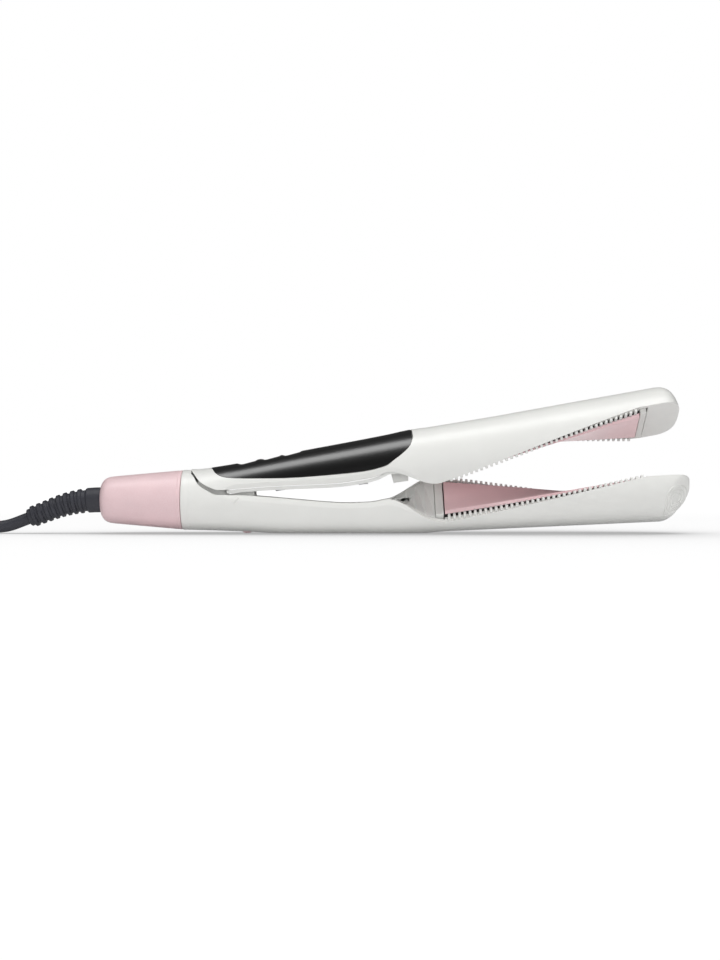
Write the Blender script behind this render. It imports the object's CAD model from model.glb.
"""Looks of a twisted-plate hair iron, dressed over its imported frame."""

from math import asin, ceil, cos, hypot, pi, radians, sin, sqrt, tan

import bmesh
import bpy
from bpy.props import FloatProperty, FloatVectorProperty, IntProperty, PointerProperty
from mathutils import Matrix, Vector
from mathutils.bvhtree import BVHTree


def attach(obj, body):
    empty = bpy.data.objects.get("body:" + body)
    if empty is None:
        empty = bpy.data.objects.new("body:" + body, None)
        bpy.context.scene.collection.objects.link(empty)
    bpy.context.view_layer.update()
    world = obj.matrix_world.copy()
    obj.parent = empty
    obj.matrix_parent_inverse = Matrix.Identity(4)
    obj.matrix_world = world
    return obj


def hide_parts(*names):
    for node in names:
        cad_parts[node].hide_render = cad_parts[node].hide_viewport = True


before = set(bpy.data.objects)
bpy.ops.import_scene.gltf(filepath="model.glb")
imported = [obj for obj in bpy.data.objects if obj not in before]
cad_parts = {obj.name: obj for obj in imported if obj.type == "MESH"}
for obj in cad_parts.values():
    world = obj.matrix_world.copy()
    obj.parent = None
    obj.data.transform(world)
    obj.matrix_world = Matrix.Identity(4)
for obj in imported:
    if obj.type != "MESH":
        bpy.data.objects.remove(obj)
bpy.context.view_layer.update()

bl_info = {
    "name": "Hair iron with twisted plates",
    "version": (1, 0, 0),
    "blender": (4, 5, 0),
    "location": "View3D > Sidebar > Hair iron",
    "description": "Builds the shells, plates, controls and mains lead of a hair iron",
    "category": "Object",
}


# ---------------------------------------------------------------- settings


def number(name, description, default, **kind):
    return FloatProperty(name=name, description=description, default=default, **kind)


def length(name, description, default):
    return number(name, description, default, min=0, unit="LENGTH", precision=5)


def angle(name, description, default):
    return number(name, description, radians(default), unit="ROTATION", subtype="ANGLE")


def power(name, description, default):
    return number(name, description, default, unit="POWER")


def colour(name, description, default):
    return FloatVectorProperty(
        name=name, description=description, default=default, size=3, min=0, max=1, subtype="COLOR"
    )


class BodySizes(bpy.types.PropertyGroup):
    collar_len: length("Collar", "Length of the swivel collar at the tail", 0.0398)
    neck_len: length("Neck ring", "Length of the ring between collar and handle", 0.0039)
    handle_len: length("Handle", "Length from the neck ring to the plates", 0.124)
    plate_len: length("Plates", "Length of a heating plate", 0.0972)
    tip_len: length("Tip", "Length of the cool tip past the plates", 0.0221)
    dome_len: length("Lower dome", "Length of the blunt end of the lower tip", 0.01)
    upper_dome_len: length("Upper dome", "Length of the rounder end of the upper tip", 0.012)
    tip_back: length("Tip set-back", "Distance by which the upper tip is set back", 0.0014)
    barrel_d: length("Barrel", "Diameter of the shut barrel round the plates", 0.035)
    grip_w: length("Grip", "Width of the handle at its middle", 0.0328)
    neck_d: length("Neck", "Diameter of the neck ring", 0.0294)
    wall: length("Wall", "Wall of the arm shells", 0.0022)
    tail_z: length("Tail height", "Height of the tail's axis over the surface", 0.0163)
    root_z: length("Root height", "Height of the barrel's axis where the plates begin", 0.0183)
    belly_flat: length("Belly flat", "Width of the flat that the handle rests on", 0.0078)
    rim_drop: length("Rim drop", "Depth of a shell's rim below the split", 0.0025)
    rim_round: length("Rim rounding", "Rounding of the rims of the arm shells", 0.0006)
    lip_w: length("Lip width", "Width of the bevelled lip along the handle's rims", 0.0019)
    lip_in: length("Lip depth", "Depth of the bevelled lip along the handle's rims", 0.0011)
    pivot_from_neck: length("Hinge place", "Distance of the hinge pin from the neck ring", 0.0069)
    pivot_z: length("Hinge height", "Height of the hinge pin", 0.0246)
    barrel_rise: angle("Barrel rise", "Rise of the barrel's axis towards the tips", 2.6)
    opening: angle("Opening", "Angle between the arms at rest", 7.8)
    twist: angle("Twist", "Twist of the plates over a millimetre of length", 0.65)
    level_at: length("Level point", "Distance from the plates' start to where they lie level", 0.0584)
    turn_in: length("Turn in", "Length over which the handle's level split starts to twist", 0.028)


class PlateSizes(bpy.types.PropertyGroup):
    plate_w: length("Width", "Full width of a heating plate", 0.0254)
    plate_t: length("Thickness", "Thickness of a heating plate", 0.0018)
    bevel_w: length("Bevel width", "Width of the bevel on the long edges", 0.0015)
    bevel_h: length("Bevel depth", "Depth of the bevel on the long edges", 0.0011)
    shut_gap: length("Shut gap", "Gap between the plates when shut", 0.0004)
    tooth_pitch: length("Tooth pitch", "Spacing of the comb teeth", 0.0025)
    tooth_w: length("Tooth width", "Width of a comb tooth", 0.00125)
    tooth_drop: length("Tooth drop", "Depth of the tooth tips below the split", 0.0009)


class ControlSizes(bpy.types.PropertyGroup):
    panel_len: length("Panel", "Length of the control panel", 0.0994)
    panel_t: length("Panel thickness", "Thickness of the control panel", 0.0012)
    button_d: length("Button", "Diameter of a button", 0.0088)
    dish: length("Dish", "Depth of the scoop at a button", 0.001)


class LeadSizes(bpy.types.PropertyGroup):
    cord_d: length("Cord", "Diameter of the mains cord", 0.006)
    cord_len: length("Cord length", "Length of the mains cord", 1.98)
    sleeve_d: length("Sleeve", "Diameter of the strain relief", 0.0123)
    sleeve_bend: length("Sleeve bend", "Radius of the strain relief's bend", 0.062)
    sleeve_drop: angle("Sleeve drop", "Angle of the strain relief's bend", 21)
    sleeve_end: length("Sleeve end", "Length of the strain relief's straight end", 0.013)
    sleeve_ribs: IntProperty(name="Ribs", description="Number of ribs on the strain relief", default=8)
    plug_w: length("Plug width", "Width of the plug", 0.022)
    plug_t: length("Plug thickness", "Thickness of the plug", 0.013)
    plug_len: length("Plug length", "Length of the plug's body", 0.03)
    tie_w: length("Tie", "Width of the tie round the wound cord", 0.005)


class Finishes(bpy.types.PropertyGroup):
    shell: colour("Shell", "Moulded plastic of the arm shells", (0.83, 0.832, 0.803))
    inner: colour("Inner", "Moulded plastic of the inner covers", (0.83, 0.832, 0.81))
    collar: colour("Collar", "Satin paint of the tail collar", (0.81, 0.59, 0.61))
    plate: colour("Plate", "Coating of the heating plates", (0.87, 0.61, 0.63))
    gloss: colour("Panel", "Gloss plastic of the control panel", (0.003, 0.003, 0.003))
    rubber: colour("Rubber", "Rubber of the mains lead", (0.035, 0.036, 0.045))
    steel: colour("Steel", "Bright steel of pins and screws", (0.6, 0.6, 0.62))


class StageSettings(bpy.types.PropertyGroup):
    floor: colour("Floor", "Colour of the floor", (0.78, 0.78, 0.79))
    key_power: power("Key", "Power of the lamp overhead", 5.4)
    front_power: power("Front", "Power of the lamp in front", 3.2)
    low_power: power("Low", "Power of the lamp low in front", 2.3)
    back_power: power("Back", "Power of the lamp behind", 2.4)
    room: number("Room", "Brightness of the room round the object", 0.2)
    gloss_room: number("Gloss", "Brightness of the room in reflections", 0.06)


class IronSettings(bpy.types.PropertyGroup):
    body: PointerProperty(type=BodySizes)
    plates: PointerProperty(type=PlateSizes)
    controls: PointerProperty(type=ControlSizes)
    lead: PointerProperty(type=LeadSizes)
    finish: PointerProperty(type=Finishes)
    stage: PointerProperty(type=StageSettings)


def settings():
    return bpy.context.scene.hair_iron


def own_settings(group):
    """Names of the settings that a group adds itself."""
    return [key for key in group.bl_rna.properties.keys() if key not in ("name", "rna_type")]


def take_sizes(thing, group):
    """Gives a thing the settings of a group, with lengths in millimetres."""
    for key in own_settings(group):
        scale = 1000 if group.bl_rna.properties[key].unit == "LENGTH" else 1
        setattr(thing, key, getattr(group, key) * scale)


# ---------------------------------------------------------------- form of the body


def smooth(t):
    t = min(max(t, 0.0), 1.0)
    return t * t * (3 - 2 * t)


def blend(a, b, t):
    return a + (b - a) * t


def even(low, high, n):
    """Places from low to high in n equal steps."""
    return [low + (high - low) * k / n for k in range(n + 1)]


def spread(low, high, step):
    """Places from low to high, evenly and at most a step apart."""
    return even(low, high, max(ceil((high - low) / step), 1))


def graded(start, *spans):
    """Places from start on, where each span has its own end and step."""
    xs = [start]
    for end, step in spans:
        xs += spread(xs[-1], end, step)[1:]
    return xs


def curve(knots, x):
    """Value at x of a smooth curve through knots that never overshoots them."""
    if x <= knots[0][0]:
        return knots[0][1]
    if x >= knots[-1][0]:
        return knots[-1][1]
    chord = [(b[1] - a[1]) / (b[0] - a[0]) for a, b in zip(knots, knots[1:])]

    def slope(k):
        if k in (0, len(chord)):
            return chord[min(k, len(chord) - 1)]
        a, b = chord[k - 1], chord[k]
        return 0 if a * b <= 0 else 2 * a * b / (a + b)

    i = max(k for k in range(len(chord)) if knots[k][0] <= x)
    (x0, v0), (x1, v1) = knots[i:i + 2]
    h = x1 - x0
    t = (x - x0) / h
    rest = (t**3 - 2 * t**2 + t) * h * slope(i) + (t**3 - t**2) * h * slope(i + 1)
    return (2 * t**3 - 3 * t**2 + 1) * v0 + (3 * t**2 - 2 * t**3) * v1 + rest


def signed_power(v, e):
    return -((-v) ** e) if v < 0 else v**e


class Body:
    """Sections of the two arms, in millimetres, with the jaws shut."""

    stop_room = 3.4
    panel_from_pin = 4.5
    buttons_from_pin = (22.1, 34.1, 44.2)
    scoop_reach = 5.2
    rims_apart = 0.8
    tip_rim = 2.3
    rail_in = 0.15

    def __init__(self):
        iron = settings()
        for group in (iron.body, iron.plates, iron.controls):
            take_sizes(self, group)
        self.neck_r = self.neck_d / 2
        self.barrel_r = self.barrel_d / 2
        self.button_r = self.button_d / 2
        spans = (self.collar_len, self.neck_len, self.handle_len, self.plate_len, self.tip_len)
        self.x_tail = -sum(spans) / 2
        self.x_neck = self.x_tail + self.collar_len
        self.x_grip = self.x_neck + self.neck_len
        self.x_root = self.x_grip + self.handle_len
        self.x_end = self.x_root + self.plate_len
        self.x_tip = self.x_end + self.tip_len
        self.x_level = self.x_root + self.level_at
        self.tip_start = self.x_end + self.stop_room
        self.pivot_x = self.x_grip + self.pivot_from_neck
        self.panel_x0 = self.pivot_x + self.panel_from_pin
        self.panel_x1 = self.panel_x0 + self.panel_len
        self.button_xs = [self.pivot_x + d for d in self.buttons_from_pin]
        rail_h = self.rim_drop + 0.9
        self.rail_y = sqrt((self.barrel_r - self.wall) ** 2 - rail_h**2) - self.rail_in
        self.draw_handle()
        self.draw_rims()

    def along(self, *knots):
        """Knots whose places are shares of the handle's length."""
        return [(self.x_grip + u * self.handle_len, value) for u, value in knots]

    def draw_handle(self):
        """Height, widths and squareness of the handle along its length."""
        grip_r = self.grip_w / 2
        rise = self.root_z - self.tail_z
        neck_foot, neck_top = self.tail_z - self.neck_r, self.tail_z + self.neck_r
        root_foot, root_top = self.root_z - self.barrel_r, self.root_z + self.barrel_r
        dip = grip_r * (1 - sqrt(1 - (self.belly_flat / (2 * grip_r)) ** 2))
        self.axis = self.along(
            (0, self.tail_z), (0.4, self.tail_z + 0.45 * rise), (0.8, self.tail_z + 0.8 * rise),
            (1, self.root_z),
        )
        self.widths = self.along(
            (0, self.neck_r), (0.12, self.neck_r + 0.4), (0.5, grip_r),
            (0.85, (grip_r + self.barrel_r) / 2), (1, self.barrel_r),
        )
        self.belly = self.along(
            (0, neck_foot), (0.12, neck_foot - 0.4), (0.225, 0.75), (0.4, -dip), (0.9, -dip),
            (1, root_foot),
        )
        self.crest = self.along(
            (0, neck_top + 1.4), (0.06, neck_top + 0.6), (0.16, neck_top + 0.8),
            (0.43, self.root_z + 15.3), (0.79, root_top + 0.1), (0.92, root_top + 1.4),
            (1, root_top + 1.8),
        )
        self.squareness = self.along((0, 2), (0.3, 2.2), (0.7, 2.2), (1, 2))
        self.swell = [(self.x_root + d, high) for d, high in ((0, 1.8), (16, 1.1), (32, 0.7))]
        self.swell.append((self.x_end, 0.5))

    def draw_rims(self):
        """Heights over the axis of both rims and of the panel's edge."""
        pin_x, pin_h = self.pivot_x, self.pivot_z - self.axis_z(self.pivot_x)
        split = (
            (0.19, 2.1), (0.29, 1.1), (0.41, -0.5), (0.53, -2.1), (0.61, -2.8), (0.71, -2.6),
            (0.78, -1.1), (0.84, -0.7),
        )

        def near_pin(*places):
            return [(pin_x + x, pin_h + h) for x, h in places]

        def by_plates(side):
            drop = side * self.rim_drop
            return [
                (self.x_root - 4, 0.7 * drop), (self.x_root, drop), (self.x_end, drop),
                (self.tip_start, side * self.tip_rim),
            ]

        self.lower_rim = [
            (self.x_grip, self.pivot_z + 5.6 - self.axis_z(self.x_grip)),
            *near_pin((-4.4, 2.7), (-2.5, -0.4), (2.5, -3.9), (7.4, -5.9)),
            *self.along(*split),
            *by_plates(-1),
        ]
        self.upper_rim = [
            *near_pin((-5.4, 7.2), (-3.4, 4.2), (-1.3, 0.9), (3.2, -2.6), (7.4, -4.6)),
            *self.along(*((u, h + self.rims_apart) for u, h in split)),
            *by_plates(1),
        ]
        edge = (
            (0, 15), (0.008, 13.9), (0.02, 12.1), (0.052, 9.7), (0.105, 8.2), (0.23, 6.1),
            (0.375, 4.1), (0.57, 2.5), (0.745, 1.7), (0.847, 2.7), (0.906, 7.3), (0.953, 12.4),
            (0.982, 15.8), (0.995, 17.8), (1, 19),
        )
        self.panel_edge = [(self.panel_x0 + u * self.panel_len, h) for u, h in edge]

    def axis_z(self, x):
        if x < self.x_root:
            return curve(self.axis, x)
        return self.root_z + (x - self.x_root) * tan(self.barrel_rise)

    def half_w(self, x):
        return curve(self.widths, x)

    def half_down(self, x):
        return self.axis_z(x) - curve(self.belly, x) if x < self.x_root else self.barrel_r

    def half_up(self, x):
        if x < self.x_root:
            return curve(self.crest, x) - self.axis_z(x)
        return self.barrel_r + curve(self.swell, x)

    def crest_z(self, x):
        return self.axis_z(x) + self.half_up(x)

    def twist_at(self, x):
        run = smooth((x - self.x_root + self.turn_in) / self.turn_in)
        return self.twist * (self.x_level - min(x, self.x_end)) * run

    def tip_end(self, up):
        """Start, length and bluntness of a tip's dome."""
        if up:
            return self.x_tip - self.tip_back - self.upper_dome_len, self.upper_dome_len, 3.0
        return self.x_tip - self.dome_len, self.dome_len, 3.5

    def dome(self, x, up):
        """Share of the full section that is left near a tip's end."""
        first, long, blunt = self.tip_end(up)
        if x <= first:
            return 1
        return max(1 - (0.998 * (x - first) / long) ** blunt, 0) ** (1 / blunt)

    def depth(self, x, up, h):
        return self.half_up(x) if up and h >= 0 else self.half_down(x)

    def turn_of(self, x, h, inset, up):
        """Turn at which the section reaches height h over the axis."""
        reach = self.depth(x, up, h) * self.dome(x, up) - inset
        ratio = min(max(h / max(reach, 0.01), -0.97), 0.97)
        return asin(signed_power(ratio, curve(self.squareness, x) / 2))

    def placed(self, x, y, h):
        a = self.twist_at(x)
        return Vector((x, y * cos(a) - h * sin(a), self.axis_z(x) + y * sin(a) + h * cos(a)))

    def skin(self, x, t, inset, up):
        """Point of the section at x, t turned from the far side over the top."""
        e = 2 / curve(self.squareness, x)
        d = self.dome(x, up)
        y = (self.half_w(x) * d - inset) * signed_power(cos(t), e)
        h = (self.depth(x, up, sin(t)) * d - inset) * signed_power(sin(t), e)
        return self.placed(x, y, h)

    def panel_turn(self, x):
        """Turn of the panel's edge, which runs on past the panel's end."""
        if x > self.panel_x1:
            return curve([(self.panel_x1, radians(80)), (self.panel_x1 + 24, radians(45))], x)
        h = curve(self.panel_edge, max(x, self.panel_x0))
        return self.turn_of(x, min(h, 0.985 * self.half_up(x)), 0, True)

    def side(self, x, rim, edge, steps):
        """Turns and insets from a rim up a side, with a bevelled lip first along the handle."""
        past_pin, rise, before_plates, fall = 7, 8, 8, 12
        lip = smooth((x - self.pivot_x - past_pin) / rise)
        lip *= smooth((self.x_root - before_plates - x) / fall)
        band = blend(abs(edge - rim) / steps, self.lip_w / self.half_w(x), lip)
        first = rim + band if edge > rim else rim - band
        return [(rim, self.lip_in * lip)] + [(t, 0) for t in even(first, edge, steps - 1)]

    def crown(self, x, edge, deep, steps, scooped):
        """Points over the top of the upper arm, from the near edge to the far one."""
        points = [self.skin(x, t, deep, True) for t in even(pi - edge, edge, steps)]
        for p in points if scooped else ():
            p.z -= self.scoop(p.x, p.y)
        return points

    def scoop(self, x, y):
        """Depth of the scoops round the buttons, fading out towards the panel's sides."""
        full, fade = 4, 4.5
        deep = max(1 - ((x - bx) / self.scoop_reach) ** 2 for bx in self.button_xs)
        return self.dish * max(deep, 0) * (1 - smooth((abs(y) - full) / fade))

    def open(self, bm):
        """Swings a piece of the upper arm open about the hinge pin."""
        pin = Vector((self.pivot_x, 0, self.pivot_z))
        turn = Matrix.Rotation(-self.opening, 3, "Y")
        bmesh.ops.rotate(bm, verts=bm.verts, cent=pin, matrix=turn)


# ---------------------------------------------------------------- mesh helpers


def add_object(name, data):
    """New object in the scene."""
    thing = bpy.data.objects.new(name, data)
    bpy.context.scene.collection.objects.link(thing)
    return thing


def as_mesh(name, bm):
    mesh = bpy.data.meshes.new(name)
    bm.to_mesh(mesh)
    bm.free()
    return mesh


def join(bm, part):
    """Adds one mesh to another."""
    mesh = as_mesh("part", part)
    bm.from_mesh(mesh)
    bpy.data.meshes.remove(mesh)


def shift(bm, x=0.0, y=0.0, z=0.0):
    bmesh.ops.translate(bm, vec=(x, y, z), verts=bm.verts)


def weld(bm, dist=0.001):
    bmesh.ops.remove_doubles(bm, verts=bm.verts, dist=dist)


def extruded(bm, edges):
    """Extrudes edges and returns the new points."""
    made = bmesh.ops.extrude_edge_only(bm, edges=edges)["geom"]
    return [g for g in made if isinstance(g, bmesh.types.BMVert)]


def open_edges(bm):
    return [e for e in bm.edges if len(e.link_faces) == 1]


def loft(bm, rings, closed=True, caps=True):
    """Extrudes the first ring's edges through the places of the other rings."""

    def pairs(vs):
        return list(zip(vs, vs[1:] + vs[:1] if closed else vs[1:]))

    verts = [bm.verts.new(p) for p in rings[0]]
    edges = [bm.edges.new(p) for p in pairs(verts)]
    first = list(edges)
    for ring in rings[1:]:
        fresh = set(extruded(bm, edges))
        verts = [({e.other_vert(v) for e in v.link_edges} & fresh).pop() for v in verts]
        edges = [bm.edges.get(p) for p in pairs(verts)]
        for v, p in zip(verts, ring):
            v.co = p
    if closed and caps:
        for loop in (first, edges):
            bmesh.ops.contextual_create(bm, geom=loop)


def turned(bm, outline, steps=64):
    """Spins an outline of (x, radius) points round the x axis."""
    verts = [bm.verts.new((x, 0, r)) for x, r in outline]
    edges = [bm.edges.new(p) for p in zip(verts, verts[1:])]
    bmesh.ops.spin(
        bm, geom=verts + edges, cent=(0, 0, 0), axis=(1, 0, 0), angle=2 * pi, steps=steps,
        use_merge=True,
    )
    weld(bm)


def block(bm, low, high, edge, segments=2):
    """Box between two corners with rounded edges."""
    part = bmesh.new()
    bmesh.ops.create_cube(part, size=1)
    bmesh.ops.scale(part, vec=[b - a for a, b in zip(low, high)], verts=part.verts)
    shift(part, *((a + b) / 2 for a, b in zip(low, high)))
    bmesh.ops.bevel(
        part, geom=part.edges, offset=edge, segments=segments, profile=0.5, affect="EDGES",
        material=-1, clamp_overlap=True,
    )
    join(bm, part)


def cut(bm, cutter):
    """Takes one closed mesh away from another."""
    for part in (bm, cutter):
        bmesh.ops.recalc_face_normals(part, faces=part.faces)
    things = [add_object("part", as_mesh("part", part)) for part in (bm, cutter)]
    boolean = things[0].modifiers.new("Cut", "BOOLEAN")
    boolean.operation = "DIFFERENCE"
    boolean.solver = "EXACT"
    boolean.object = things[1]
    left = bmesh.new()
    left.from_object(things[0], bpy.context.evaluated_depsgraph_get())
    for thing in things:
        mesh = thing.data
        bpy.data.objects.remove(thing)
        bpy.data.meshes.remove(mesh)
    return left


def skin_tree(name):
    """Search tree of a finished piece, in millimetres."""
    mesh = bpy.data.objects[name].data
    places = [v.co * 1000 for v in mesh.vertices]
    return BVHTree.FromPolygons(places, [p.vertices for p in mesh.polygons])


def ridge(bm, tree, path, up, width, height, closed):
    """Low rib that follows a path of (x, z) points over the near side of a skin."""
    root, outside, beside = -0.2, -60, -12
    places = []
    for x, z in path:
        hit = tree.ray_cast(Vector((x, outside, z)), Vector((0, 1, 0)))[0]
        places.append(hit or tree.find_nearest(Vector((x, beside, z)))[0])
    half = width / 2
    flank = [(-half, root), (-half, 0), (-half / 2, height)]
    section = flank + [(-a, h) for a, h in reversed(flank)]
    rings = []
    for i, p in enumerate(places):
        after = places[(i + 1) % len(places)] if closed else places[min(i + 1, len(places) - 1)]
        before = places[i - 1] if closed or i else places[0]
        out = up.cross(after - before).normalized()
        rings.append([p + out * a + up * h for a, h in section])
    part = bmesh.new()
    loft(part, rings + rings[:1] if closed else rings, caps=not closed)
    weld(part)
    join(bm, part)


def dress(piece, finish, body, nodes):
    """Gives a piece its finish and body, and the nodes that it stands for."""
    piece.data.materials.append(finish_of(finish))
    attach(piece, body)
    if nodes:
        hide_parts(*nodes)
    return piece


def make(name, bm, finish, body, *nodes, slot=None, bevel=0.0, sharp_at=35):
    """Turns a mesh in millimetres into a finished piece that rides on a body."""
    bmesh.ops.recalc_face_normals(bm, faces=bm.faces)
    bmesh.ops.scale(bm, vec=(0.001, 0.001, 0.001), verts=bm.verts)
    mesh = as_mesh(name, bm)
    mesh.shade_smooth()
    mesh.set_sharp_from_angle(angle=radians(sharp_at))
    piece = add_object(name, mesh)
    if bevel:
        edge = piece.modifiers.new("Rounded edges", "BEVEL")
        edge.width = bevel / 1000
        edge.segments = 3
        edge.limit_method = "ANGLE"
        edge.angle_limit = radians(sharp_at)
        edge.harden_normals = True
    return dress(piece, finish, body, nodes)


def make_for_arm(body, up, name, bm, finish, node, **looks):
    """Finishes a piece of one arm, swung open if it is the upper one."""
    if up:
        body.open(bm)
    arm = "upper" if up else "lower"
    return make(f"{arm}_{name}", bm, finish, f"{arm}_arm", f"{arm}_{node}", **looks)


# ---------------------------------------------------------------- finishes


WHITE = (1, 1, 1, 1)


class Value:
    """A shader socket that can be used in Python sums."""

    def __init__(self, finish, socket):
        self.finish = finish
        self.socket = socket

    def __add__(self, other):
        return self.finish.node("Math", {0: self, 1: other}, operation="ADD")

    def __mul__(self, other):
        return self.finish.node("Math", {0: self, 1: other}, operation="MULTIPLY")

    __radd__ = __add__
    __rmul__ = __mul__


class Finish:
    """Node tree of a material or of the room."""

    def __init__(self, owner, output="OutputMaterial"):
        owner.use_nodes = True
        self.owner = owner
        self.tree = owner.node_tree
        self.tree.nodes.clear()
        self.output = self.tree.nodes.new("ShaderNode" + output)

    def node(self, kind, inputs=None, output=0, **options):
        made = self.tree.nodes.new("ShaderNode" + kind)
        for key, value in options.items():
            setattr(made, key, value)
        for key, value in (inputs or {}).items():
            if isinstance(value, Value):
                self.tree.links.new(value.socket, made.inputs[key])
            else:
                made.inputs[key].default_value = value
        return Value(self, made.outputs[output])

    def place(self):
        return self.node("TexCoord", output="Object")

    def stretched(self, vector, *scale):
        return self.node("Mapping", {"Vector": vector, "Scale": scale}, vector_type="POINT")

    def noise(self, vector, scale, detail):
        return self.node("TexNoise", {"Vector": vector, "Scale": scale, "Detail": detail})

    def ray(self, kind):
        return self.node("LightPath", output=f"Is {kind} Ray")

    def band(self, value, low, high):
        """0 below low, 1 over high, and even between them."""
        return self.node("MapRange", {"Value": value, "From Min": low, "From Max": high}, clamp=True)

    def tint(self, factor, a, b):
        """Colour a where factor is 0 and colour b where it is 1."""
        a, b = (c if isinstance(c, Value) else (*c, 1) for c in (a, b))
        return self.node("Mix", {0: factor, 6: a, 7: b}, 2, data_type="RGBA")

    def bump(self, height, depth):
        """Bump whose depth is in metres."""
        return self.node("Bump", {"Height": height, "Distance": depth, "Strength": 1.0})

    def close(self, last):
        """Ends the tree with its last shader."""
        self.tree.links.new(last.socket, self.output.inputs["Surface"])
        return self.owner

    def surface(self, inputs):
        return self.close(self.node("BsdfPrincipled", inputs))


def shade(colour, factor):
    return tuple(min(c * factor, 1) for c in colour)


def moulded_plastic(f, colour, rough, grain, coat):
    """Fine-grained moulding with faint flow marks and a little handling wear."""
    at = f.place()
    flow = f.band(f.noise(at, 45, 3), 0.3, 0.7)
    wear = f.band(f.noise(at, 160, 4), 0.45, 0.8)
    speck = f.noise(at, 2600, 1)
    base = f.tint(flow, shade(colour, 0.985), shade(colour, 1.01))
    return f.surface({
        "Base Color": f.tint(wear * 0.35, base, shade(colour, 0.955)),
        "Roughness": rough - 0.05 + 0.09 * wear + 0.03 * speck,
        "Coat Weight": coat,
        "Coat Roughness": 0.18,
        "Normal": f.bump(speck, grain),
    })


def satin_paint(f, colour):
    """Pearly paint over plastic, with fine flakes."""
    at = f.place()
    flake = f.node("TexVoronoi", {"Vector": at, "Scale": 3500}, "Color")
    lightness = f.node("SeparateColor", {0: flake})
    cloud = f.band(f.noise(at, 60, 3), 0.35, 0.65)
    base = f.tint(cloud, shade(colour, 0.97), shade(colour, 1.03))
    return f.surface({
        "Base Color": f.tint(lightness * 0.16, base, (0.95, 0.86, 0.87)),
        "Metallic": 0.03 * lightness,
        "Roughness": 0.43 + 0.07 * cloud,
        "Coat Weight": 0.15,
        "Coat Roughness": 0.3,
        "Normal": f.bump(f.noise(at, 1500, 2), 0.000008),
    })


def plate_coat(f, colour):
    """Smooth ceramic coat with faint lapping marks along the plate."""
    at = f.place()
    lines = f.noise(f.stretched(at, 0.06, 1, 1), 3200, 3)
    cloud = f.band(f.noise(at, 70, 3), 0.3, 0.7)
    base = f.tint(cloud, shade(colour, 0.97), shade(colour, 1.02))
    return f.surface({
        "Base Color": f.tint(f.band(lines, 0.35, 0.75) * 0.2, base, shade(colour, 1.12)),
        "Roughness": 0.3 + 0.12 * lines,
        "Coat Weight": 0.3,
        "Coat Roughness": 0.15,
        "Normal": f.bump(lines, 0.00001),
    })


def piano_gloss(f, colour):
    """Deep gloss with hairline wiping marks and a trace of dust."""
    at = f.place()
    marks = f.band(f.noise(f.stretched(at, 0.15, 1, 1), 1400, 4), 0.55, 0.8)
    dust = f.band(f.noise(at, 900, 2), 0.68, 0.8)
    return f.surface({
        "Base Color": f.tint(dust * 0.3, colour, (0.015, 0.015, 0.015)),
        "Roughness": 0.3 + 0.04 * marks + 0.03 * dust,
        "Specular IOR Level": 0.8,
        "Coat Weight": 0.8,
        "Coat Roughness": 0.26,
    })


def cord_rubber(f, colour):
    """Matt rubber with a fine skin and faint chalky bloom."""
    at = f.place()
    skin = f.noise(at, 1800, 3)
    bloom = f.band(f.noise(at, 90, 4), 0.4, 0.75)
    return f.surface({
        "Base Color": f.tint(bloom * 0.4, colour, shade(colour, 1.7)),
        "Roughness": 0.5 + 0.12 * skin,
        "Normal": f.bump(skin, 0.00003),
    })


def turned_steel(f, colour):
    """Bright steel with fine tool marks."""
    at = f.place()
    lines = f.noise(f.stretched(at, 1, 0.1, 1), 2800, 3)
    stain = f.band(f.noise(at, 240, 3), 0.5, 0.8)
    return f.surface({
        "Base Color": f.tint(stain * 0.4, colour, shade(colour, 0.75)),
        "Metallic": 1.0,
        "Roughness": 0.28 + 0.14 * lines,
        "Normal": f.bump(lines, 0.00001),
    })


def fired_ceramic(f):
    """Pressed heater ceramic with grainy, slightly browned faces."""
    at = f.place()
    grain = f.noise(at, 1500, 4)
    brown = f.band(f.noise(at, 120, 3), 0.45, 0.8)
    return f.surface({
        "Base Color": f.tint(brown, (0.68, 0.62, 0.5), (0.5, 0.4, 0.28)),
        "Roughness": 0.75 + 0.15 * grain,
        "Normal": f.bump(grain, 0.00006),
    })


def board_green(f):
    """Solder mask with tinned tracks."""
    at = f.place()
    black = (0, 0, 0, 1)
    brick = {"Vector": at, "Scale": 260.0, "Mortar Size": 0.03}
    brick.update({"Color1": black, "Color2": black, "Mortar": WHITE})
    tracks = f.node("TexBrick", brick, "Fac", offset=0.5)
    weave = f.noise(at, 1800, 2)
    base = f.tint(f.band(weave, 0.3, 0.7), (0.01, 0.12, 0.05), (0.02, 0.17, 0.07))
    return f.surface({
        "Base Color": f.tint(tracks * 0.6, base, (0.25, 0.4, 0.25)),
        "Roughness": 0.35 + 0.1 * weave,
        "Normal": f.bump(tracks, 0.00004),
    })


def finish_of(name):
    """The material of one kind of surface, made once."""
    if name in bpy.data.materials:
        return bpy.data.materials[name]
    colours = settings().finish
    makers = {
        "shell_plastic": (moulded_plastic, colours.shell, 0.38, 0.000008, 0.12),
        "inner_plastic": (moulded_plastic, colours.inner, 0.5, 0.00002, 0.0),
        "stop_plastic": (moulded_plastic, shade(colours.shell, 0.96), 0.45, 0.00001, 0.0),
        "carrier_black": (moulded_plastic, (0.035, 0.03, 0.03), 0.6, 0.00003, 0.0),
        "collar_paint": (satin_paint, colours.collar),
        "plate_coating": (plate_coat, colours.plate),
        "panel_gloss": (piano_gloss, colours.gloss),
        "lead_rubber": (cord_rubber, colours.rubber),
        "bright_steel": (turned_steel, colours.steel),
        "heater_ceramic": (fired_ceramic,),
        "board_mask": (board_green,),
    }
    maker, *looks = makers[name]
    return maker(Finish(bpy.data.materials.new(name)), *looks)


# ---------------------------------------------------------------- stage


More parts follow.
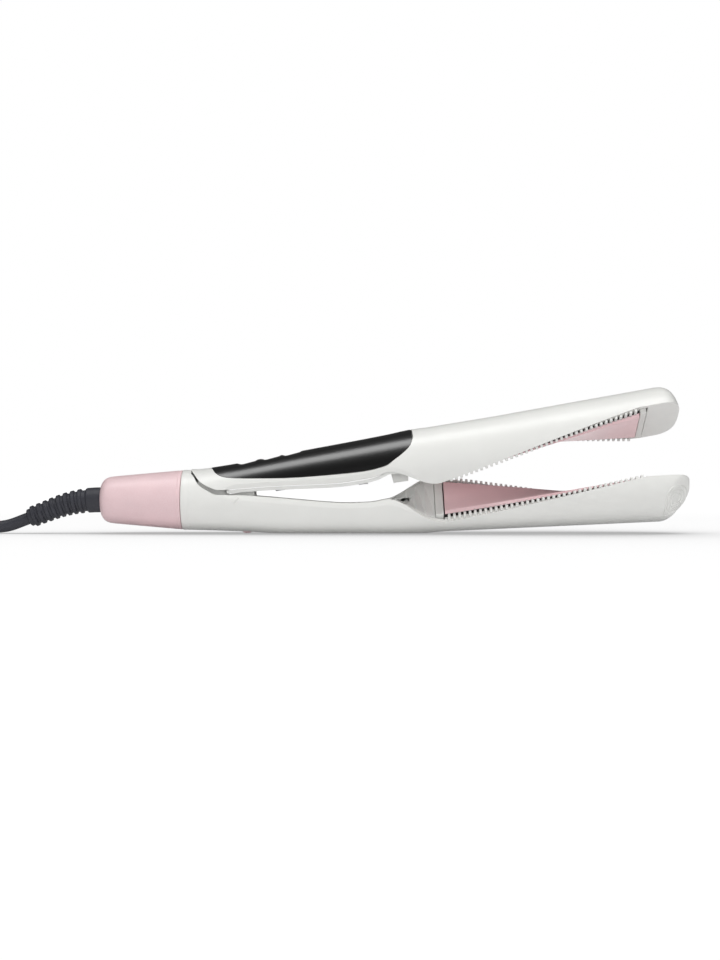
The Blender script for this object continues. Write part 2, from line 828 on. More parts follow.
def floor_paint(colour):
    """White to the camera, with the object's soft shadow kept."""
    f = Finish(bpy.data.materials.new("floor_paint"))
    seen = f.node("Math", {0: f.ray("Camera"), 1: f.ray("Glossy")}, operation="MAXIMUM")
    far = f.node("VectorMath", {0: f.place()}, "Value", operation="LENGTH")
    nook = f.node("AmbientOcclusion", {"Distance": 0.4}, "AO", samples=16)
    glow = 0.48 + 0.58 * f.band(nook, 0.5, 1.0)
    white = f.node("Emission", {"Color": WHITE, "Strength": glow})
    paint = f.node("BsdfDiffuse", {"Color": (*colour, 1)})
    share = seen * (0.85 + 0.15 * f.band(far, 0.35, 1.0))
    return f.close(f.node("MixShader", {0: share, 1: paint, 2: white}))


def studio_room(strength, gloss):
    """White to the camera, soft to the object and dim in reflections."""
    f = Finish(bpy.data.worlds.new("studio_room"), "OutputWorld")
    seen = f.node("Background", {"Color": WHITE, "Strength": strength})
    for kind, level in (("Glossy", gloss), ("Transmission", 1), ("Camera", 1)):
        light = f.node("Background", {"Color": WHITE, "Strength": level})
        seen = f.node("MixShader", {0: f.ray(kind), 1: seen, 2: light})
    return f.close(seen)


def hang_lamp(name, place, size, watts, in_gloss=False):
    """Rectangular lamp aimed at the middle of the iron."""
    data = bpy.data.lights.new(name, "AREA")
    data.shape = "RECTANGLE"
    data.size, data.size_y = size
    data.energy = watts
    lamp = add_object(name, data)
    lamp.location = place
    aim = Vector((0, 0, 0.03)) - Vector(place)
    lamp.rotation_euler = aim.to_track_quat("-Z", "Y").to_euler()
    lamp.visible_glossy = in_gloss


class HAIRIRON_OT_stage(bpy.types.Operator):
    """Lays the pale floor and hangs the lamps"""

    bl_idname = "hairiron.stage"
    bl_label = "Floor and lamps"

    def execute(self, context):
        stage = settings().stage
        bm = bmesh.new()
        bmesh.ops.create_circle(bm, cap_ends=True, segments=64, radius=4)
        shift(bm, z=-0.0002)
        floor = add_object("studio_floor", as_mesh("studio_floor", bm))
        floor.data.materials.append(floor_paint(stage.floor))
        context.scene.world = studio_room(stage.room, stage.gloss_room)
        hang_lamp("key_lamp", (-0.02, -0.2, 0.85), (1.1, 0.4), stage.key_power, in_gloss=True)
        hang_lamp("front_lamp", (-0.05, -1.1, 0.3), (1.4, 0.46), stage.front_power)
        hang_lamp("low_lamp", (-0.05, -1.1, 0.09), (1.4, 0.12), stage.low_power)
        hang_lamp("back_lamp", (0.05, 1.1, 0.35), (1.3, 0.5), stage.back_power)
        return {"FINISHED"}


class HAIRIRON_OT_camera(bpy.types.Operator):
    """Sets the camera level with the handle, square to the side"""

    bl_idname = "hairiron.camera"
    bl_label = "Camera"

    def execute(self, context):
        data = bpy.data.cameras.new("side_camera")
        data.lens = 57.6
        data.sensor_width = 36
        data.clip_start = 0.01
        camera = add_object("side_camera", data)
        camera.location = (-0.0167, -0.755, 0.02605)
        camera.rotation_euler = (pi / 2, 0, 0)
        context.scene.camera = camera
        context.scene.view_settings.view_transform = "Standard"
        return {"FINISHED"}


# ---------------------------------------------------------------- mains lead


class Lead:
    """Route of the mains lead, in millimetres."""

    hank_from_tail = 139.5
    run = 76
    loop_in = 16.4
    layers = 4
    layer_loops = 1.5
    rings = 24
    run_share = 4 / rings
    waist_in = 3
    waist_up = 1.3
    plug_neck = 13

    def __init__(self):
        body = Body()
        take_sizes(self, settings().lead)
        self.cord_r = self.cord_d / 2
        self.start = Vector((body.x_tail - 1, 0, body.tail_z))
        self.tail = Vector((body.x_tail, 0, 0))
        self.hank_x = body.x_tail - self.hank_from_tail
        self.bend_len = self.sleeve_bend * self.sleeve_drop
        self.sleeve_len = self.bend_len + self.sleeve_end
        self.loop_step = self.cord_d + 0.75
        self.layer_step = self.cord_d + 0.5
        self.top_z = self.cord_r + self.layers * self.layer_step
        self.waist_top = self.waist_up + self.cord_d + (self.layers - 1) * self.layer_step
        self.plug = Vector((self.hank_x + 5, -19, self.waist_top + 0.2 + self.plug_t / 2))

    def sleeve_point(self, at):
        """Point of the sleeve's centreline at a length from its start."""
        a = min(at, self.bend_len) / self.sleeve_bend
        straight = max(at - self.bend_len, 0)
        x = self.sleeve_bend * sin(a) + straight * cos(self.sleeve_drop)
        z = self.sleeve_bend * (1 - cos(a)) + straight * sin(self.sleeve_drop)
        return self.start - Vector((x, 0, z))

    def sleeve_way(self, at):
        """Direction of the centreline at a length from its start."""
        a = min(at, self.bend_len) / self.sleeve_bend
        return Vector((-cos(a), 0, -sin(a)))

    def saw(self, s):
        """Loops out from the innermost: in and out again over two layers."""
        there_and_back = 2 * self.layer_loops
        return self.layer_loops - abs(s - there_and_back * round(s / there_and_back))

    def half_loop(self, s):
        """Half the width of the loop, with its turning points rounded off."""
        ease = 0.25
        saw = self.saw(s)
        turn = min(saw, self.layer_loops - saw)
        eased = ease / 2 + turn**2 / (2 * ease)
        if s < ease:
            out = self.layer_loops - s
        elif s > self.layers * self.layer_loops - ease:
            out = s - (self.layers - 1) * self.layer_loops
        elif turn >= ease:
            out = saw
        elif saw < self.layer_loops / 2:
            out = eased
        else:
            out = self.layer_loops - eased
        return self.loop_in + self.loop_step * out

    def layer_at(self, s):
        k = min(max(round(s / self.layer_loops), 1), self.layers - 1)
        return k - 1 + smooth((s - k * self.layer_loops) / 0.5 + 0.5)

    def hank_point(self, s):
        """Point of the hank after s loops: a run, a half turn, the other run and its turn."""
        half_run = self.run_share / 2
        share = s - ((s + half_run) // 1)
        side = -1 if share > 0.5 - half_run else 1
        on = share - 0.5 if side < 0 else share
        half = self.half_loop(s)
        a = max(on - half_run, 0) / (0.5 - self.run_share) * pi
        if a > 0:
            x = -self.run / 2 - half * sin(a)
        else:
            x = -min(on, half_run) / self.run_share * self.run
        nip = cos(min(abs(x) / self.run * pi, pi / 2)) ** 2
        return Vector((
            self.hank_x + side * x,
            side * (half * cos(a) - self.waist_in * nip),
            self.cord_r + self.layer_step * self.layer_at(s) + self.waist_up * nip,
        ))

    def hank(self):
        first = -self.run_share / 2 * self.rings
        last = self.layers * self.layer_loops * self.rings + 1
        return [self.hank_point((first + k) / self.rings) for k in range(round(last - first) + 1)]

    def route(self):
        """Centreline from the sleeve's end through the hank to the plug."""
        hank = self.hank()
        entry = hank[0] + Vector((self.cord_d, 0, 0))
        way = (hank[-1] - hank[-2]).normalized()
        leave = hank[-1] + self.cord_d * way
        r, top = self.cord_r, self.top_z
        down = [
            (-46, 0, 3.7), (-49, 0, 3.2), (-52, 0, r), (-58, 1, r), (-64.5, 3.5, r),
            (-69.5, 8, r), (-73.5, 13.5, r), (-77.5, 19, r), (-82.5, 23.5, r), (-88.5, 26.2, r),
        ]
        over = [
            (-32.5, 26.4, 23.6), (-37.5, 26.5, 25), (-42.5, 25.9, 26), (-46.5, 24.6, 26.8),
            (-50.5, 22.4, 27.6), (-54, 19.5, 28.2), (-57, 16, 28.7), (-59.2, 11.7, top),
            (-60.6, 7.2, top), (-61, 2.5, top), (-60.6, -2.2, top), (-59.2, -6.7, top),
            (-57, -10.8, top), (-54, -14.4, top), (-50.4, -17.4, top), (-46.2, -19.7, top),
            (-41.5, -21.1, 29.2), (-36.5, -21.5, 29.7), (-31, -21.2, 30.4), (-25.5, -20.5, 31.3),
            (-20, -19.8, 32.3), (-15, -19.3, 33),
        ]
        neck = self.plug - Vector((self.plug_neck, 0, 0))
        return (
            [self.sleeve_point(self.sleeve_len + past) for past in (0, 4, 8)]
            + [self.tail + Vector(p) for p in down]
            + [entry + Vector((3, 0, 0)), entry]
            + hank
            + [leave, leave + 3 * way]
            + [Vector((self.hank_x, 0, 0)) + Vector(p) for p in over]
            + [neck - Vector((6, 0, 0)), neck]
        )


def strain_relief(lead):
    """Rubber sleeve: smooth root, round ribs and a tapered end."""
    root, ribs_from, pitch, high = 4, 8.0, 3.4, 0.9
    last_rib = ribs_from + lead.sleeve_ribs * pitch
    core = lead.sleeve_d / 2 - high
    taper = core - lead.cord_r - 1.3
    across = Vector((0, 1, 0))

    def radius(at):
        base = core - taper * smooth(at / lead.sleeve_len)
        if at < ribs_from - 1.2:
            return base + high * smooth((ribs_from - 1.2 - at) / 1.2)
        if at > last_rib - 0.6:
            return base
        u = ((at - ribs_from) / pitch) % 1
        return base + high * smooth((0.36 - abs(u - 0.36)) / 0.16)

    step = 0.28
    steps = ceil(lead.sleeve_len / step)
    turns = even(0, 2 * pi, 40)[:-1]
    rings = []
    for i in range(-int(root / step), steps + 1):
        at = lead.sleeve_len * i / steps
        on = max(at, 0)
        centre = lead.sleeve_point(on) - Vector((min(at, 0), 0, 0))
        up = across.cross(lead.sleeve_way(on))
        rings.append([centre + radius(on) * (cos(a) * across + sin(a) * up) for a in turns])
    lip, way = lead.sleeve_point(lead.sleeve_len), lead.sleeve_way(lead.sleeve_len)
    rings.append([p + (lip - p).normalized() * 0.5 + way * 0.4 for p in rings[-1]])
    bm = bmesh.new()
    loft(bm, rings)
    drum = bmesh.new()
    turned(drum, [(3, 0), (3, 6), (5.1, 6.1), (5.1, 8.2), (10, 8.2), (10, 0)])
    shift(drum, lead.start.x, 0, lead.start.z)
    join(bm, drum)
    return make("strain_relief_sleeve", bm, "lead_rubber", "mains_lead", "strain_relief")


def hank_tie(lead):
    """Ribbed strap round the hank with a tucked end."""
    corner = lead.cord_r - 0.375
    out = lead.loop_in - lead.waist_in + lead.cord_r + 0.25
    y0 = -out - lead.loop_step * (lead.layer_loops - 0.5)
    y1 = out + lead.loop_step * lead.layer_loops
    z0, z1 = lead.waist_up - 0.25, lead.waist_top + 0.25
    path = []
    for turn, (sy, sz) in enumerate(((1, 1), (-1, 1), (-1, -1), (1, -1))):
        centre = Vector((y1 if sy > 0 else y0, z1 if sz > 0 else z0)) - corner * Vector((sy, sz))
        for a in even(pi / 2 * turn, pi / 2 * (turn + 1), 6):
            path.append(centre + corner * Vector((cos(a), sin(a))))
    half = lead.tie_w / 2
    section = [(-half, 0), (-half + 0.3, 0.55), (0, 0.72), (half - 0.3, 0.55), (half, 0)]
    rings = []
    for i, p in enumerate(path):
        way = (path[(i + 1) % len(path)] - path[i - 1]).normalized()
        rings.append([Vector((lead.hank_x + x, p.x + way.y * h, p.y - way.x * h)) for x, h in section])
    bm = bmesh.new()
    loft(bm, rings + rings[:1], closed=False)
    weld(bm)
    bmesh.ops.recalc_face_normals(bm, faces=bm.faces)
    bmesh.ops.solidify(bm, geom=bm.faces[:], thickness=0.35)
    x = half + 0.7
    block(bm, (lead.hank_x - x, y1 - 0.5, 13), (lead.hank_x + x, y1 + 1.0, 19), 0.3)
    return make("hank_tie", bm, "lead_rubber", "mains_lead", "cord_tie")


def mains_plug(lead):
    """Two-pin plug with grip ridges and a ribbed neck."""
    r, flat, long = lead.plug_t / 2, (lead.plug_w - lead.plug_t) / 2, lead.plug_len
    half_turn = even(-pi / 2, pi / 2, 12)
    ring = [(side * (flat + r * cos(a)), side * r * sin(a)) for side in (1, -1) for a in half_turn]
    swells = [(0, 0.8), (0.4, 0.9), (1.5, 0.97), (4, 1)]
    for x in (7, 10.4, 13.8):
        swells += [(x, 1), (x + 0.5, 0.95), (x + 1.5, 0.95), (x + 2, 1)]
    swells += [(long - 1.5, 1), (long - 0.4, 0.97), (long, 0.92)]
    bm = bmesh.new()
    loft(bm, [[Vector((x, y * swell, z * swell)) for y, z in ring] for x, swell in swells])
    end = -lead.plug_neck
    outline = [(end, 0), (end, 3.6), (end + 0.4, 4)]
    for k in range(4):
        x, root = end + 1 + 2.8 * k, 4 + 0.3 * k
        outline += [(x, root), (x + 0.3, root + 0.45), (x + 1.4, root + 0.5), (x + 1.7, root + 0.05)]
    neck = bmesh.new()
    turned(neck, outline + [(0.6, 5.4), (0.6, 0)], 40)
    join(bm, neck)
    shift(bm, *lead.plug)
    return make("plug_shell", bm, "lead_rubber", "mains_lead", "plug_body")


class HAIRIRON_OT_mains_lead(bpy.types.Operator):
    """Lays the mains cord from its sleeve into the wound hank and on to the plug"""

    bl_idname = "hairiron.mains_lead"
    bl_label = "Mains lead"

    def execute(self, context):
        sizes = settings().lead
        lead = Lead()
        points = lead.route()
        line = bpy.data.curves.new("mains_cord", "CURVE")
        line.dimensions = "3D"
        line.resolution_u = 4
        line.bevel_depth = sizes.cord_d / 2
        line.bevel_resolution = 5
        line.use_fill_caps = True
        spline = line.splines.new("BEZIER")
        spline.bezier_points.add(len(points) - 1)
        for knot, p in zip(spline.bezier_points, points):
            knot.co = p / 1000
            knot.handle_left_type = knot.handle_right_type = "AUTO"
        cord = add_object("mains_cord", line)
        dress(cord, "lead_rubber", "mains_lead", ("cord", "cord_hank", "cord_tail"))
        tie = hank_tie(lead)
        plug = mains_plug(lead)
        sleeve = strain_relief(lead)
        tuple(lead.sleeve_point(lead.sleeve_len) / 1000)
        return {"FINISHED"}


# ---------------------------------------------------------------- tail


class HAIRIRON_OT_tail(bpy.types.Operator):
    """Turns the swivel collar and the neck ring"""

    bl_idname = "hairiron.tail"
    bl_label = "Collar and neck ring"

    def execute(self, context):
        body = Body()
        long, bore, shoulder, groove = body.collar_len, 6.45, 6.6, 0.14
        r0, r1 = 11.6, 14.5

        def cone(x, deep=0.0):
            return x, blend(r0, r1, (x - shoulder) / (long - shoulder - 0.6)) - deep

        outline = [
            (0, bore), (0, 7.4), (0.35, 8.3), (0.9, 9.2), (1.7, 10.1), (2.7, 10.75), (4.0, 11.22),
            *(cone(x) for x in spread(shoulder, long - 1.9, 3)),
            cone(long - 1.75, groove), cone(long - 1.45, groove), cone(long - 1.3),
            (long - 0.6, r1), (long - 0.15, r1 - 0.15), (long, r1 - 0.5), (long, 12.4), (3, 8.6),
            (3, bore), (0, bore),
        ]
        bm = bmesh.new()
        turned(bm, outline, 96)
        shift(bm, body.x_tail, 0, body.tail_z)
        make("swivel_collar", bm, "collar_paint", "lower_arm", "tail_collar")

        x0, x1, r = body.x_neck + 0.2, body.x_grip, body.neck_r
        lip = [(x1 - 0.02, r), (x1 + 0.05, r - 0.04), (x1 + 0.75, r - 0.04), (x1 + 0.75, r - 2.1)]
        outline = [(x0, r - 2.2), (x0, r - 0.4), (x0 + 0.12, r - 0.12), (x0 + 0.4, r), *lip, (x0, r - 2.2)]
        bm = bmesh.new()
        turned(bm, outline, 96)
        shift(bm, z=body.tail_z)
        make("neck_band", bm, "shell_plastic", "lower_arm", "neck_ring")
        return {"FINISHED"}


# ---------------------------------------------------------------- arm shells


OUT_STEPS = 44
IN_STEPS = 22


def stations(body, first, up):
    """Places of the hollow and the closed sections, close together where the form turns quickly."""
    hollow = graded(
        first, (body.pivot_x + 12, 0.9), (body.x_root - 30, 3), (body.x_root + 4, 1.4),
        (body.tip_start, 2),
    )
    dome, long, _ = body.tip_end(up)
    tip = spread(body.tip_start + 0.7, dome, 0.9)
    tip += [dome + long * (1 - (1 - u) ** 2) for u in even(0, 1, 28)[1:]]
    return hollow, tip


def closed_off(outer):
    """Outer line of a tip with its flat inner face, from rim to rim."""
    return outer + even(outer[-1], outer[0], IN_STEPS + 2)[1:-1]


def finish_shell(body, up, rings):
    bm = bmesh.new()
    loft(bm, rings)
    looks = {"bevel": body.rim_round, "sharp_at": 32}
    make_for_arm(body, up, "arm_shell", bm, "shell_plastic", "shell", **looks)


class LowerForm:
    """Outer and inner lines of the lower shell."""

    facet_way = Vector((0.52, -0.78, -0.35)).normalized()
    chin_way = Vector((0.782, 0, -0.623)).normalized()
    facet_soft = 1.2
    chin_soft = 2.4

    def __init__(self, body):
        self.body = body
        tip_z = body.axis_z(body.x_tip)
        self.facet_at = Vector((body.x_tip - 12.8, 0.6 - body.barrel_r, tip_z - 6.8))
        self.chin_at = Vector((body.x_tip + 0.7, 0, tip_z - 3.7))

    def rim(self, x, inset):
        return self.body.turn_of(x, curve(self.body.lower_rim, x), inset, False)

    def trimmed(self, p, floor):
        """Keeps a point inside the tip's facet and chin, with soft edges."""
        facet = (self.facet_at, self.facet_way, self.facet_soft)
        chin = (self.chin_at, self.chin_way, self.chin_soft)
        for at, way, soft in (facet, chin):
            over = (p - at).dot(way)
            if over > -soft:
                p = p - way * (over if over > soft else (over + soft) ** 2 / (4 * soft))
        return Vector((p.x, p.y, max(p.z, floor)))

    def line(self, x, turns, floor):
        """Points of the section at x for turns paired with their insets."""
        return [self.trimmed(self.body.skin(x, t, inset, False), floor) for t, inset in turns]

    def outer(self, x):
        near = self.body.side(x, self.rim(x, 0), -pi / 2, OUT_STEPS)
        return self.line(x, near + [(-pi - t, inset) for t, inset in reversed(near[:-1])], 0)

    def inner(self, x):
        wall = self.body.wall
        rim = self.rim(x, wall)
        return self.line(x, [(t, wall) for t in even(-pi - rim, rim, IN_STEPS)], wall)


class HAIRIRON_OT_lower_shell(bpy.types.Operator):
    """Lofts the shell of the lower arm, from the neck to the domed tip"""

    bl_idname = "hairiron.lower_shell"
    bl_label = "Lower shell"

    def execute(self, context):
        body = Body()
        form = LowerForm(body)
        hollow, tip = stations(body, body.x_grip, False)
        rings = [form.outer(x) + form.inner(x) for x in hollow]
        finish_shell(body, False, rings + [closed_off(form.outer(x)) for x in tip])
        return {"FINISHED"}


class HAIRIRON_OT_upper_shell(bpy.types.Operator):
    """Lofts the shell of the upper arm, with the recess for its panel"""

    bl_idname = "hairiron.upper_shell"
    bl_label = "Upper shell"

    def execute(self, context):
        body = Body()
        p0, p1 = body.panel_x0, body.panel_x1
        recess = body.panel_t + 0.1
        ledge, ledge_turn = 0.15, 0.008

        def rim(x, inset):
            return body.turn_of(x, curve(body.upper_rim, x), inset, True)

        def outer(x):
            sunk = p0 - 0.01 < x < p1 + 0.01
            low = rim(x, 0)
            edge = max(body.panel_turn(x), low + radians(6))
            half = body.side(x, low, edge, 16)
            near = [body.skin(x, pi - t, inset, True) for t, inset in half]
            top = body.crown(x, edge + ledge_turn, recess if sunk else 0, 28, sunk)
            far = [body.skin(x, t, inset, True) for t, inset in reversed(half)]
            return near + top + far

        def inner(x):
            low = rim(x, body.wall)
            return [body.skin(x, t, body.wall, True) for t in even(low, pi - low, IN_STEPS)]

        hollow, tip = stations(body, body.pivot_x - 5.4, True)
        hollow = [x for x in hollow if min(abs(x - p0), abs(x - p1)) > 0.5]
        ends = (0.008, 0.02, 0.035, 0.052, 0.93, 0.953, 0.97, 0.985)
        fine = [p0 - ledge, p0, p1, p1 + ledge] + [p0 + body.panel_len * u for u in ends]
        half = (1.3, 2.7, 4, body.scoop_reach)
        fine += [bx + d for bx in body.button_xs for d in (0, *half, *(-d for d in half))]
        hollow = sorted({*hollow, *fine})
        hollow = hollow[:1] + [b for a, b in zip(hollow, hollow[1:]) if b - a > 0.1 or b in fine]
        rings = [outer(x) + inner(x) for x in hollow]
        finish_shell(body, True, rings + [closed_off(outer(x)) for x in tip])
        return {"FINISHED"}


# ---------------------------------------------------------------- controls


class HAIRIRON_OT_control_panel(bpy.types.Operator):
    """Lays the gloss panel into the upper shell, scooped and bored for the buttons"""

    bl_idname = "hairiron.control_panel"
    bl_label = "Control panel"

    def execute(self, context):
        body = Body()
        p0, p1 = body.panel_x0, body.panel_x1
        proud, end_gap, edge_gap = 0.05, 0.25, radians(1.0)
        rings = []
        for x in graded(p0 + end_gap, (p0 + 6, 0.4), (p0 + 50, 0.65), (p1 - 12, 2), (p1 - end_gap, 0.6)):
            edge = body.panel_turn(x) + edge_gap
            top, under = (body.crown(x, edge, deep, 44, True) for deep in (-proud, body.panel_t))
            rings.append(top + under[::-1])
        bm = bmesh.new()
        loft(bm, rings)
        r = body.button_r + 0.12
        holes = bmesh.new()
        for bx in body.button_xs:
            hole = bmesh.new()
            bmesh.ops.create_cone(hole, cap_ends=True, segments=64, radius1=r, radius2=r, depth=12)
            shift(hole, bx, 0, body.crest_z(bx))
            join(holes, hole)
        bm = cut(bm, holes)
        body.open(bm)
        make("gloss_panel", bm, "panel_gloss", "upper_arm", "control_panel", bevel=0.25, sharp_at=40)
        return {"FINISHED"}


class HAIRIRON_OT_buttons(bpy.types.Operator):
    """Sets the three scooped buttons into the panel"""

    bl_idname = "hairiron.buttons"
    bl_label = "Buttons"

    def execute(self, context):
        body = Body()
        for name, bx in zip(("power", "minus", "plus"), body.button_xs):
            bm = bmesh.new()
            bmesh.ops.create_circle(bm, cap_ends=True, segments=40, radius=body.button_r)
            cap = bm.faces[:]
            for step in [0.2] + [0.42] * 6:
                bmesh.ops.inset_region(bm, faces=cap, thickness=step, use_even_offset=True)
            r = body.half_up(bx)
            for v in bm.verts:
                x, y = bx + v.co.x, v.co.y
                fall = r - sqrt(max(r**2 - y**2, 0))
                out = hypot(v.co.x, y) / body.button_r
                proud = 0.12 - 0.14 * smooth((out - 0.9) / 0.1)
                v.co = Vector((x, y, body.crest_z(x) - fall - body.scoop(x, y) + proud))
            skirt = extruded(bm, open_edges(bm))
            bmesh.ops.translate(bm, vec=(0, 0, -0.3), verts=skirt)
            bmesh.ops.holes_fill(bm, edges=open_edges(bm), sides=0)
            body.open(bm)
            button = f"{name}_button"
            make(f"{name}_cap", bm, "panel_gloss", button, button, sharp_at=50)
        return {"FINISHED"}


# ---------------------------------------------------------------- plates, combs and stops


ARMS = (False, True)


def ribbon(bm, body, x0, x1, section, steps, up):
    """Bar with a closed section of (y, h) points that follows the twisted split."""
    side = -1 if up else 1
    loft(bm, [[body.placed(x, y, side * h) for y, h in section] for x in even(x0, x1, steps)])


class HAIRIRON_OT_plates(bpy.types.Operator):
    """Twists the two coated heating plates"""

    bl_idname = "hairiron.plates"
    bl_label = "Heating plates"

    def execute(self, context):
        body = Body()
        half, face = body.plate_w / 2, -body.shut_gap / 2
        back, shoulder = face - body.plate_t, face - body.bevel_h
        flat = even(body.bevel_w - half, half - body.bevel_w, 10)
        side = [(-half + 1.6, back), (-half + 0.5, back + 0.25), (-half, shoulder - 0.15), (-half, shoulder)]
        section = side + [(y, face) for y in flat] + [(-y, h) for y, h in reversed(side)]
        for up in ARMS:
            bm = bmesh.new()
            ribbon(bm, body, body.x_root + 0.4, body.x_end - 0.2, section, 110, up)
            make_for_arm(body, up, "hot_plate", bm, "plate_coating", "plate", bevel=0.18, sharp_at=30)
        return {"FINISHED"}


class HAIRIRON_OT_combs(bpy.types.Operator):
    """Stands a row of comb teeth along both long edges of each plate"""

    bl_idname = "hairiron.combs"
    bl_label = "Combs"

    def execute(self, context):
        body = Body()
        split = -body.rim_drop
        rail_y, rail_h, rail_top = body.rail_y - 0.95, split - 0.85, split + 0.05
        tooth_y = body.plate_w / 2 + 0.25
        outer_y = sqrt(body.barrel_r**2 - body.rim_drop**2) - 0.3
        feet = ((rail_y + 0.3, rail_h), (outer_y, split + 0.1))
        long = body.x_end - body.x_root - 4
        teeth = int(long / body.tooth_pitch)
        first = body.x_root + 2 + (long - teeth * body.tooth_pitch) / 2
        half_w = body.tooth_w / 2
        for up in ARMS:
            for place, side in (("near", -1), ("far", 1)):
                low, high = side * rail_y, side * body.rail_y
                rail = [(low, rail_top), (high, rail_top), (high, rail_h), (low, rail_h)]
                bm = bmesh.new()
                ribbon(bm, body, body.x_root + 0.2, body.x_end - 0.2, rail, 60, up)
                for i in range(teeth + 1):
                    x = first + i * body.tooth_pitch
                    tooth = bmesh.new()
                    for y, foot in feet:
                        y0, y1 = sorted((side * tooth_y, side * y))
                        h0, h1 = (body.tooth_drop, -foot) if up else (foot, -body.tooth_drop)
                        block(tooth, (-half_w, y0, h0), (half_w, y1, h1), 0.16)
                    turn = Matrix.Rotation(body.twist_at(x), 3, "X")
                    bmesh.ops.rotate(tooth, verts=tooth.verts, matrix=turn)
                    shift(tooth, x, 0, body.axis_z(x))
                    join(bm, tooth)
                make_for_arm(body, up, f"{place}_comb", bm, "stop_plastic", f"comb_{place}")
        return {"FINISHED"}


class HAIRIRON_OT_end_stops(bpy.types.Operator):
    """Fits the bars across the ends of the plates"""

    bl_idname = "hairiron.end_stops"
    bl_label = "End stops"

    def execute(self, context):
        body = Body()
        y = body.rail_y - 1.05
        foot, face = -body.rim_drop - 2.05, -0.6
        section = [(-y, foot), *((across, face) for across in even(-y, y, 8)), (y, foot)]
        gap = 0.2
        spans = ((body.x_root - 4.2, body.x_root - gap), (body.x_end + gap, body.tip_start - gap))
        for up in ARMS:
            bm = bmesh.new()
            for x0, x1 in spans:
                bar = bmesh.new()
                ribbon(bar, body, x0, x1, section, 5, up)
                join(bm, bar)
            looks = {"slot": "grey_inner", "bevel": 0.3, "sharp_at": 40}
            make_for_arm(body, up, "stop_bars", bm, "stop_plastic", "end_stops", **looks)
        return {"FINISHED"}


class HAIRIRON_OT_tip_pad(bpy.types.Operator):
    """Lays the nested ribs of the grip pad over the facet of the lower tip"""

    bl_idname = "hairiron.tip_pad"
    bl_label = "Tip pad"

    def execute(self, context):
        body = Body()
        tip = Vector((body.x_tip, body.axis_z(body.x_tip)))
        outline = (
            (-12.7, -14.9), (-12.7, -10.2), (-12.7, -4.9), (-11.4, -2.1), (-9.3, -0.8), (-6.4, -0.3),
            (-3.5, -0.8), (-1.9, -3.0), (-1.9, -5.9), (-3.2, -8.8), (-5.7, -11.4), (-8.8, -13.6),
            (-11.6, -15.3),
        )
        points = [tip + Vector(p) for p in outline]
        for _ in range(2):
            pairs = list(zip(points, points[1:] + points[:1]))
            points = [a.lerp(b, share) for a, b in pairs for share in (0.25, 0.75)]
        heart = sum(points, Vector((0, 0))) / len(points)
        tree = skin_tree("lower_arm_shell")
        bm = bmesh.new()
        for share in (0.95, 0.68, 0.4):
            path = [heart + share * (p - heart) for p in points]
            ridge(bm, tree, path, LowerForm.facet_way, 1.3, 0.28, True)
        make("ringed_pad", bm, "shell_plastic", "lower_arm", "tip_grip_pad", sharp_at=60)
        return {"FINISHED"}


# ---------------------------------------------------------------- small parts


class HAIRIRON_OT_lock(bpy.types.Operator):
    """Makes the lock's knob with its slide, and the mark beside it"""

    bl_idname = "hairiron.lock"
    bl_label = "Lock"

    def execute(self, context):
        body = Body()
        x = body.pivot_x + 20.9
        plate_z = curve(body.belly, x - 7) + body.wall + 0.48
        claw_z = body.pivot_z - 8.1
        end = x + 10
        bm = bmesh.new()
        bmesh.ops.create_uvsphere(bm, u_segments=40, v_segments=20, radius=1)
        bmesh.ops.scale(bm, vec=(2.7, 3.4, 1.25), verts=bm.verts)
        shift(bm, x, 0, 1.3)
        for k in (-1.1, 0, 1.1):
            block(bm, (x + k - 0.22, -2.1, 0.03), (x + k + 0.22, 2.1, 0.6), 0.08, 1)
        block(bm, (x - 1.1, -1.5, 0.3), (x + 1.1, 1.5, plate_z + 0.5), 0.1, 1)
        block(bm, (x - 3, -3, plate_z), (end, 3, plate_z + 1.2), 0.2)
        block(bm, (x + 8.2, -2, plate_z), (end, 2, claw_z), 0.2)
        block(bm, (x + 4.2, -2, claw_z - 0.9), (end, 2, claw_z), 0.2)
        make("lock_knob", bm, "collar_paint", "lock_slide", "lock_slide")

        pin = Vector((body.pivot_x, body.pivot_z))
        path = even(pin + Vector((15.2, -9.4)), pin + Vector((17.6, -7.0)), 5)
        bm = bmesh.new()
        ridge(bm, skin_tree("lower_arm_shell"), path, Vector((0, -1, 0)), 1.0, 0.5, False)
        make("lock_mark", bm, "shell_plastic", "lower_arm", sharp_at=60)
        return {"FINISHED"}


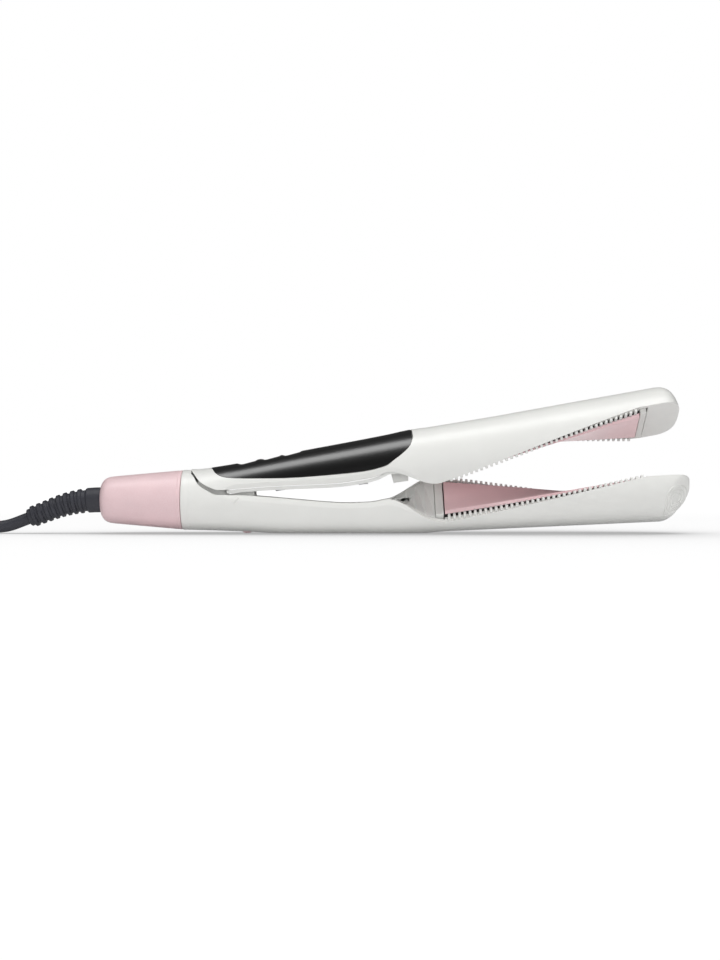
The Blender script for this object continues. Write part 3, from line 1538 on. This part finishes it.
class HAIRIRON_OT_inner_parts(bpy.types.Operator):
    """Gives the parts inside the arms their finishes"""

    bl_idname = "hairiron.inner_parts"
    bl_label = "Inner parts"

    def execute(self, context):
        moulded = {
            "lower_inner_cover": "lower_arm",
            "upper_inner_cover": "upper_arm",
            "latch_tongue": "upper_arm",
            "guide_tab": "upper_arm",
        }
        for node, body in moulded.items():
            bm = bmesh.new()
            bm.from_mesh(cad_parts[node].data)
            weld(bm, 0.000002)
            bmesh.ops.scale(bm, vec=(1000, 1000, 1000), verts=bm.verts)
            make(f"{node}_moulding", bm, "inner_plastic", body, node, sharp_at=25)
        bright = ("lower_cover_screws", "upper_cover_screws", "hinge_pin", "hinge_spring", "plug_pins")
        kinds = {
            "inner_plastic": ("hinge_bracket", "hinge_yoke"),
            "carrier_black": ("lower_plate_carrier", "upper_plate_carrier", "swivel_socket"),
            "heater_ceramic": ("lower_heater", "upper_heater"),
            "board_mask": ("circuit_board",),
            "bright_steel": bright,
        }
        for finish, nodes in kinds.items():
            for node in nodes:
                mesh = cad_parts[node].data
                mesh.materials.clear()
                mesh.materials.append(finish_of(finish))
        return {"FINISHED"}


# ---------------------------------------------------------------- add-on


class HAIRIRON_PT_panel(bpy.types.Panel):
    """Lists the steps that build the hair iron"""

    bl_idname = "HAIRIRON_PT_panel"
    bl_label = "Hair iron"
    bl_space_type = "VIEW_3D"
    bl_region_type = "UI"
    bl_category = "Hair iron"

    def draw(self, context):
        layout = self.layout
        iron = context.scene.hair_iron
        for group in own_settings(iron):
            box = layout.box()
            for key in own_settings(getattr(iron, group)):
                box.prop(getattr(iron, group), key)
        for step in STEPS:
            layout.operator(step.bl_idname)


STEPS = (
    HAIRIRON_OT_camera,
    HAIRIRON_OT_mains_lead,
    HAIRIRON_OT_stage,
    HAIRIRON_OT_tail,
    HAIRIRON_OT_lower_shell,
    HAIRIRON_OT_upper_shell,
    HAIRIRON_OT_control_panel,
    HAIRIRON_OT_buttons,
    HAIRIRON_OT_plates,
    HAIRIRON_OT_combs,
    HAIRIRON_OT_end_stops,
    HAIRIRON_OT_tip_pad,
    HAIRIRON_OT_lock,
    HAIRIRON_OT_inner_parts,
)
CLASSES = (
    BodySizes, PlateSizes, ControlSizes, LeadSizes, Finishes, StageSettings, IronSettings,
    *STEPS, HAIRIRON_PT_panel,
)


def register():
    for cls in CLASSES:
        bpy.utils.register_class(cls)
    bpy.types.Scene.hair_iron = PointerProperty(type=IronSettings)


def unregister():
    del bpy.types.Scene.hair_iron
    for cls in reversed(CLASSES):
        bpy.utils.unregister_class(cls)


def main():
    register()
    for step in STEPS:
        group, name = step.bl_idname.split(".")
        getattr(getattr(bpy.ops, group), name)()


if __name__ == "__main__":
    main()
